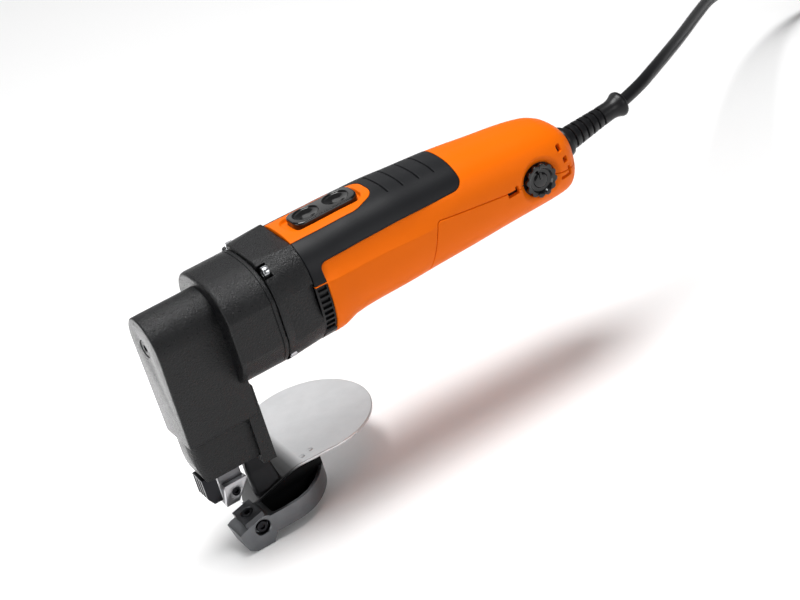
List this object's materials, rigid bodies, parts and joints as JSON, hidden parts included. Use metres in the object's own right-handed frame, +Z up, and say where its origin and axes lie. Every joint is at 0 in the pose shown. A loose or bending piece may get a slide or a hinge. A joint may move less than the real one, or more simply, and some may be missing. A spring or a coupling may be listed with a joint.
{
  "type": "sheet metal shear",
  "caption": "Corded hand shear for sheet metal: slim motor body with slide switch, upright head, reciprocating upper blade, fixed lower blade and round deflector plate.",
  "frame": {"origin": "on the sole of the lower blade holder, under the lower blade; Z = 0 is the surface the sole stands on", "axes": "+X from the head back along the motor body, +Z up along the head, -Y is the side of the lower blade"},
  "size_m": [0.6795, 0.2548, 0.1606],
  "materials": {
    "black_casting": "cast light alloy under fine-grained black powder coat",
    "orange_plastic": "satin glass-filled polyamide, orange",
    "soft_black": "soft-touch elastomer",
    "black_plastic": "moulded polyamide, black",
    "satin_steel": "forged steel, shot-blasted",
    "plate_steel": "pressed steel sheet, satin",
    "tool_steel": "hardened and ground",
    "gear_steel": "machined",
    "bearing_steel": "polished",
    "zinc_steel": "zinc plated",
    "black_steel": "black oxide",
    "bronze": "sintered bronze",
    "lamination_steel": "varnished laminations",
    "copper": "enamelled copper wire and bar",
    "brass": "stamped brass",
    "carbon": "carbon",
    "black_rubber": "rubber sheath",
    "nickel_pins": "nickel-plated brass"
  },
  "bodies": {
    "housing": {"head_housing": "black_casting", "head_front_plug": "black_casting", "head_screws": "zinc_steel", "collar": "black_casting", "gear_housing": "black_casting", "gear_housing_screws": "zinc_steel", "bearing_plate": "black_plastic", "front_bearing": "bearing_steel", "rear_bearing": "bearing_steel", "ram_guide_strips": "bronze", "ram_guard": "black_steel", "lower_holder": "satin_steel", "lower_blade": "tool_steel", "lower_blade_screw": "black_steel", "blade_clamp_screw": "black_steel", "deflector_plate": "plate_steel", "deflector_rivets": "plate_steel", "holder_screws": "black_steel", "grip_pad": "soft_black", "air_grilles": "black_plastic", "motor_housing": "orange_plastic", "rear_cover": "orange_plastic", "cover_screws": "zinc_steel", "switch_module": "black_plastic", "motor_front_bearing": "bearing_steel", "motor_rear_bearing": "bearing_steel", "bearing_bracket": "black_plastic", "stator_core": "lamination_steel", "stator_coils": "copper", "brush_holders": "brass", "carbon_brushes": "carbon", "brush_springs": "bearing_steel", "speed_module": "black_plastic", "cord_boot": "black_rubber", "cable_clamp": "black_plastic", "cord_tube": "black_rubber", "cord_coil": "black_rubber", "coil_tie": "black_plastic", "plug_body": "black_rubber", "plug_pins": "nickel_pins"},
    "switch": {"switch_button": "black_plastic", "switch_rod": "black_plastic"},
    "dial": {"speed_dial": "black_plastic"},
    "armature": {"armature_shaft": "gear_steel", "armature_core": "lamination_steel", "armature_windings": "copper", "commutator": "copper", "cooling_fan": "black_plastic", "motor_pinion": "gear_steel"},
    "intermediate": {"intermediate_shaft": "gear_steel", "intermediate_gear": "gear_steel", "intermediate_pinion": "gear_steel"},
    "crank": {"eccentric_shaft": "gear_steel", "eccentric_ring": "bearing_steel", "output_gear": "gear_steel", "output_gear_ring": "gear_steel", "bearing_spacer": "gear_steel"},
    "ram": {"ram": "tool_steel", "upper_blade": "tool_steel", "upper_blade_screw": "black_steel"}
  },
  "joints": [
    {"name": "switch_slide", "type": "slide", "parent": "housing", "child": "switch", "axis": [-1, 0, 0], "range_m": [0, 0.005]},
    {"name": "dial_turn", "type": "hinge", "parent": "housing", "child": "dial", "pos_m": [0.2162, -0.01, 0.1242], "axis": [0, -1, 0], "range_deg": [0, 270]},
    {"name": "armature_spin", "type": "hinge", "parent": "housing", "child": "armature", "pos_m": [0.112, 0.012, 0.1275], "axis": [1, 0, 0], "continuous": true},
    {"name": "intermediate_spin", "type": "hinge", "parent": "housing", "child": "intermediate", "pos_m": [0.06, 0.012, 0.1128], "axis": [1, 0, 0], "continuous": true},
    {"name": "crank_spin", "type": "hinge", "parent": "housing", "child": "crank", "pos_m": [0.042, 0.012, 0.1275], "axis": [1, 0, 0], "continuous": true},
    {"name": "ram_slide", "type": "slide", "parent": "housing", "child": "ram", "axis": [0, 0, -1], "range_m": [0, 0.005]}
  ],
  "couplings": [
    {"joint": "intermediate_spin", "follows": "armature_spin", "ratio": -0.23529},
    {"joint": "crank_spin", "follows": "armature_spin", "ratio": 0.094118}
  ]
}
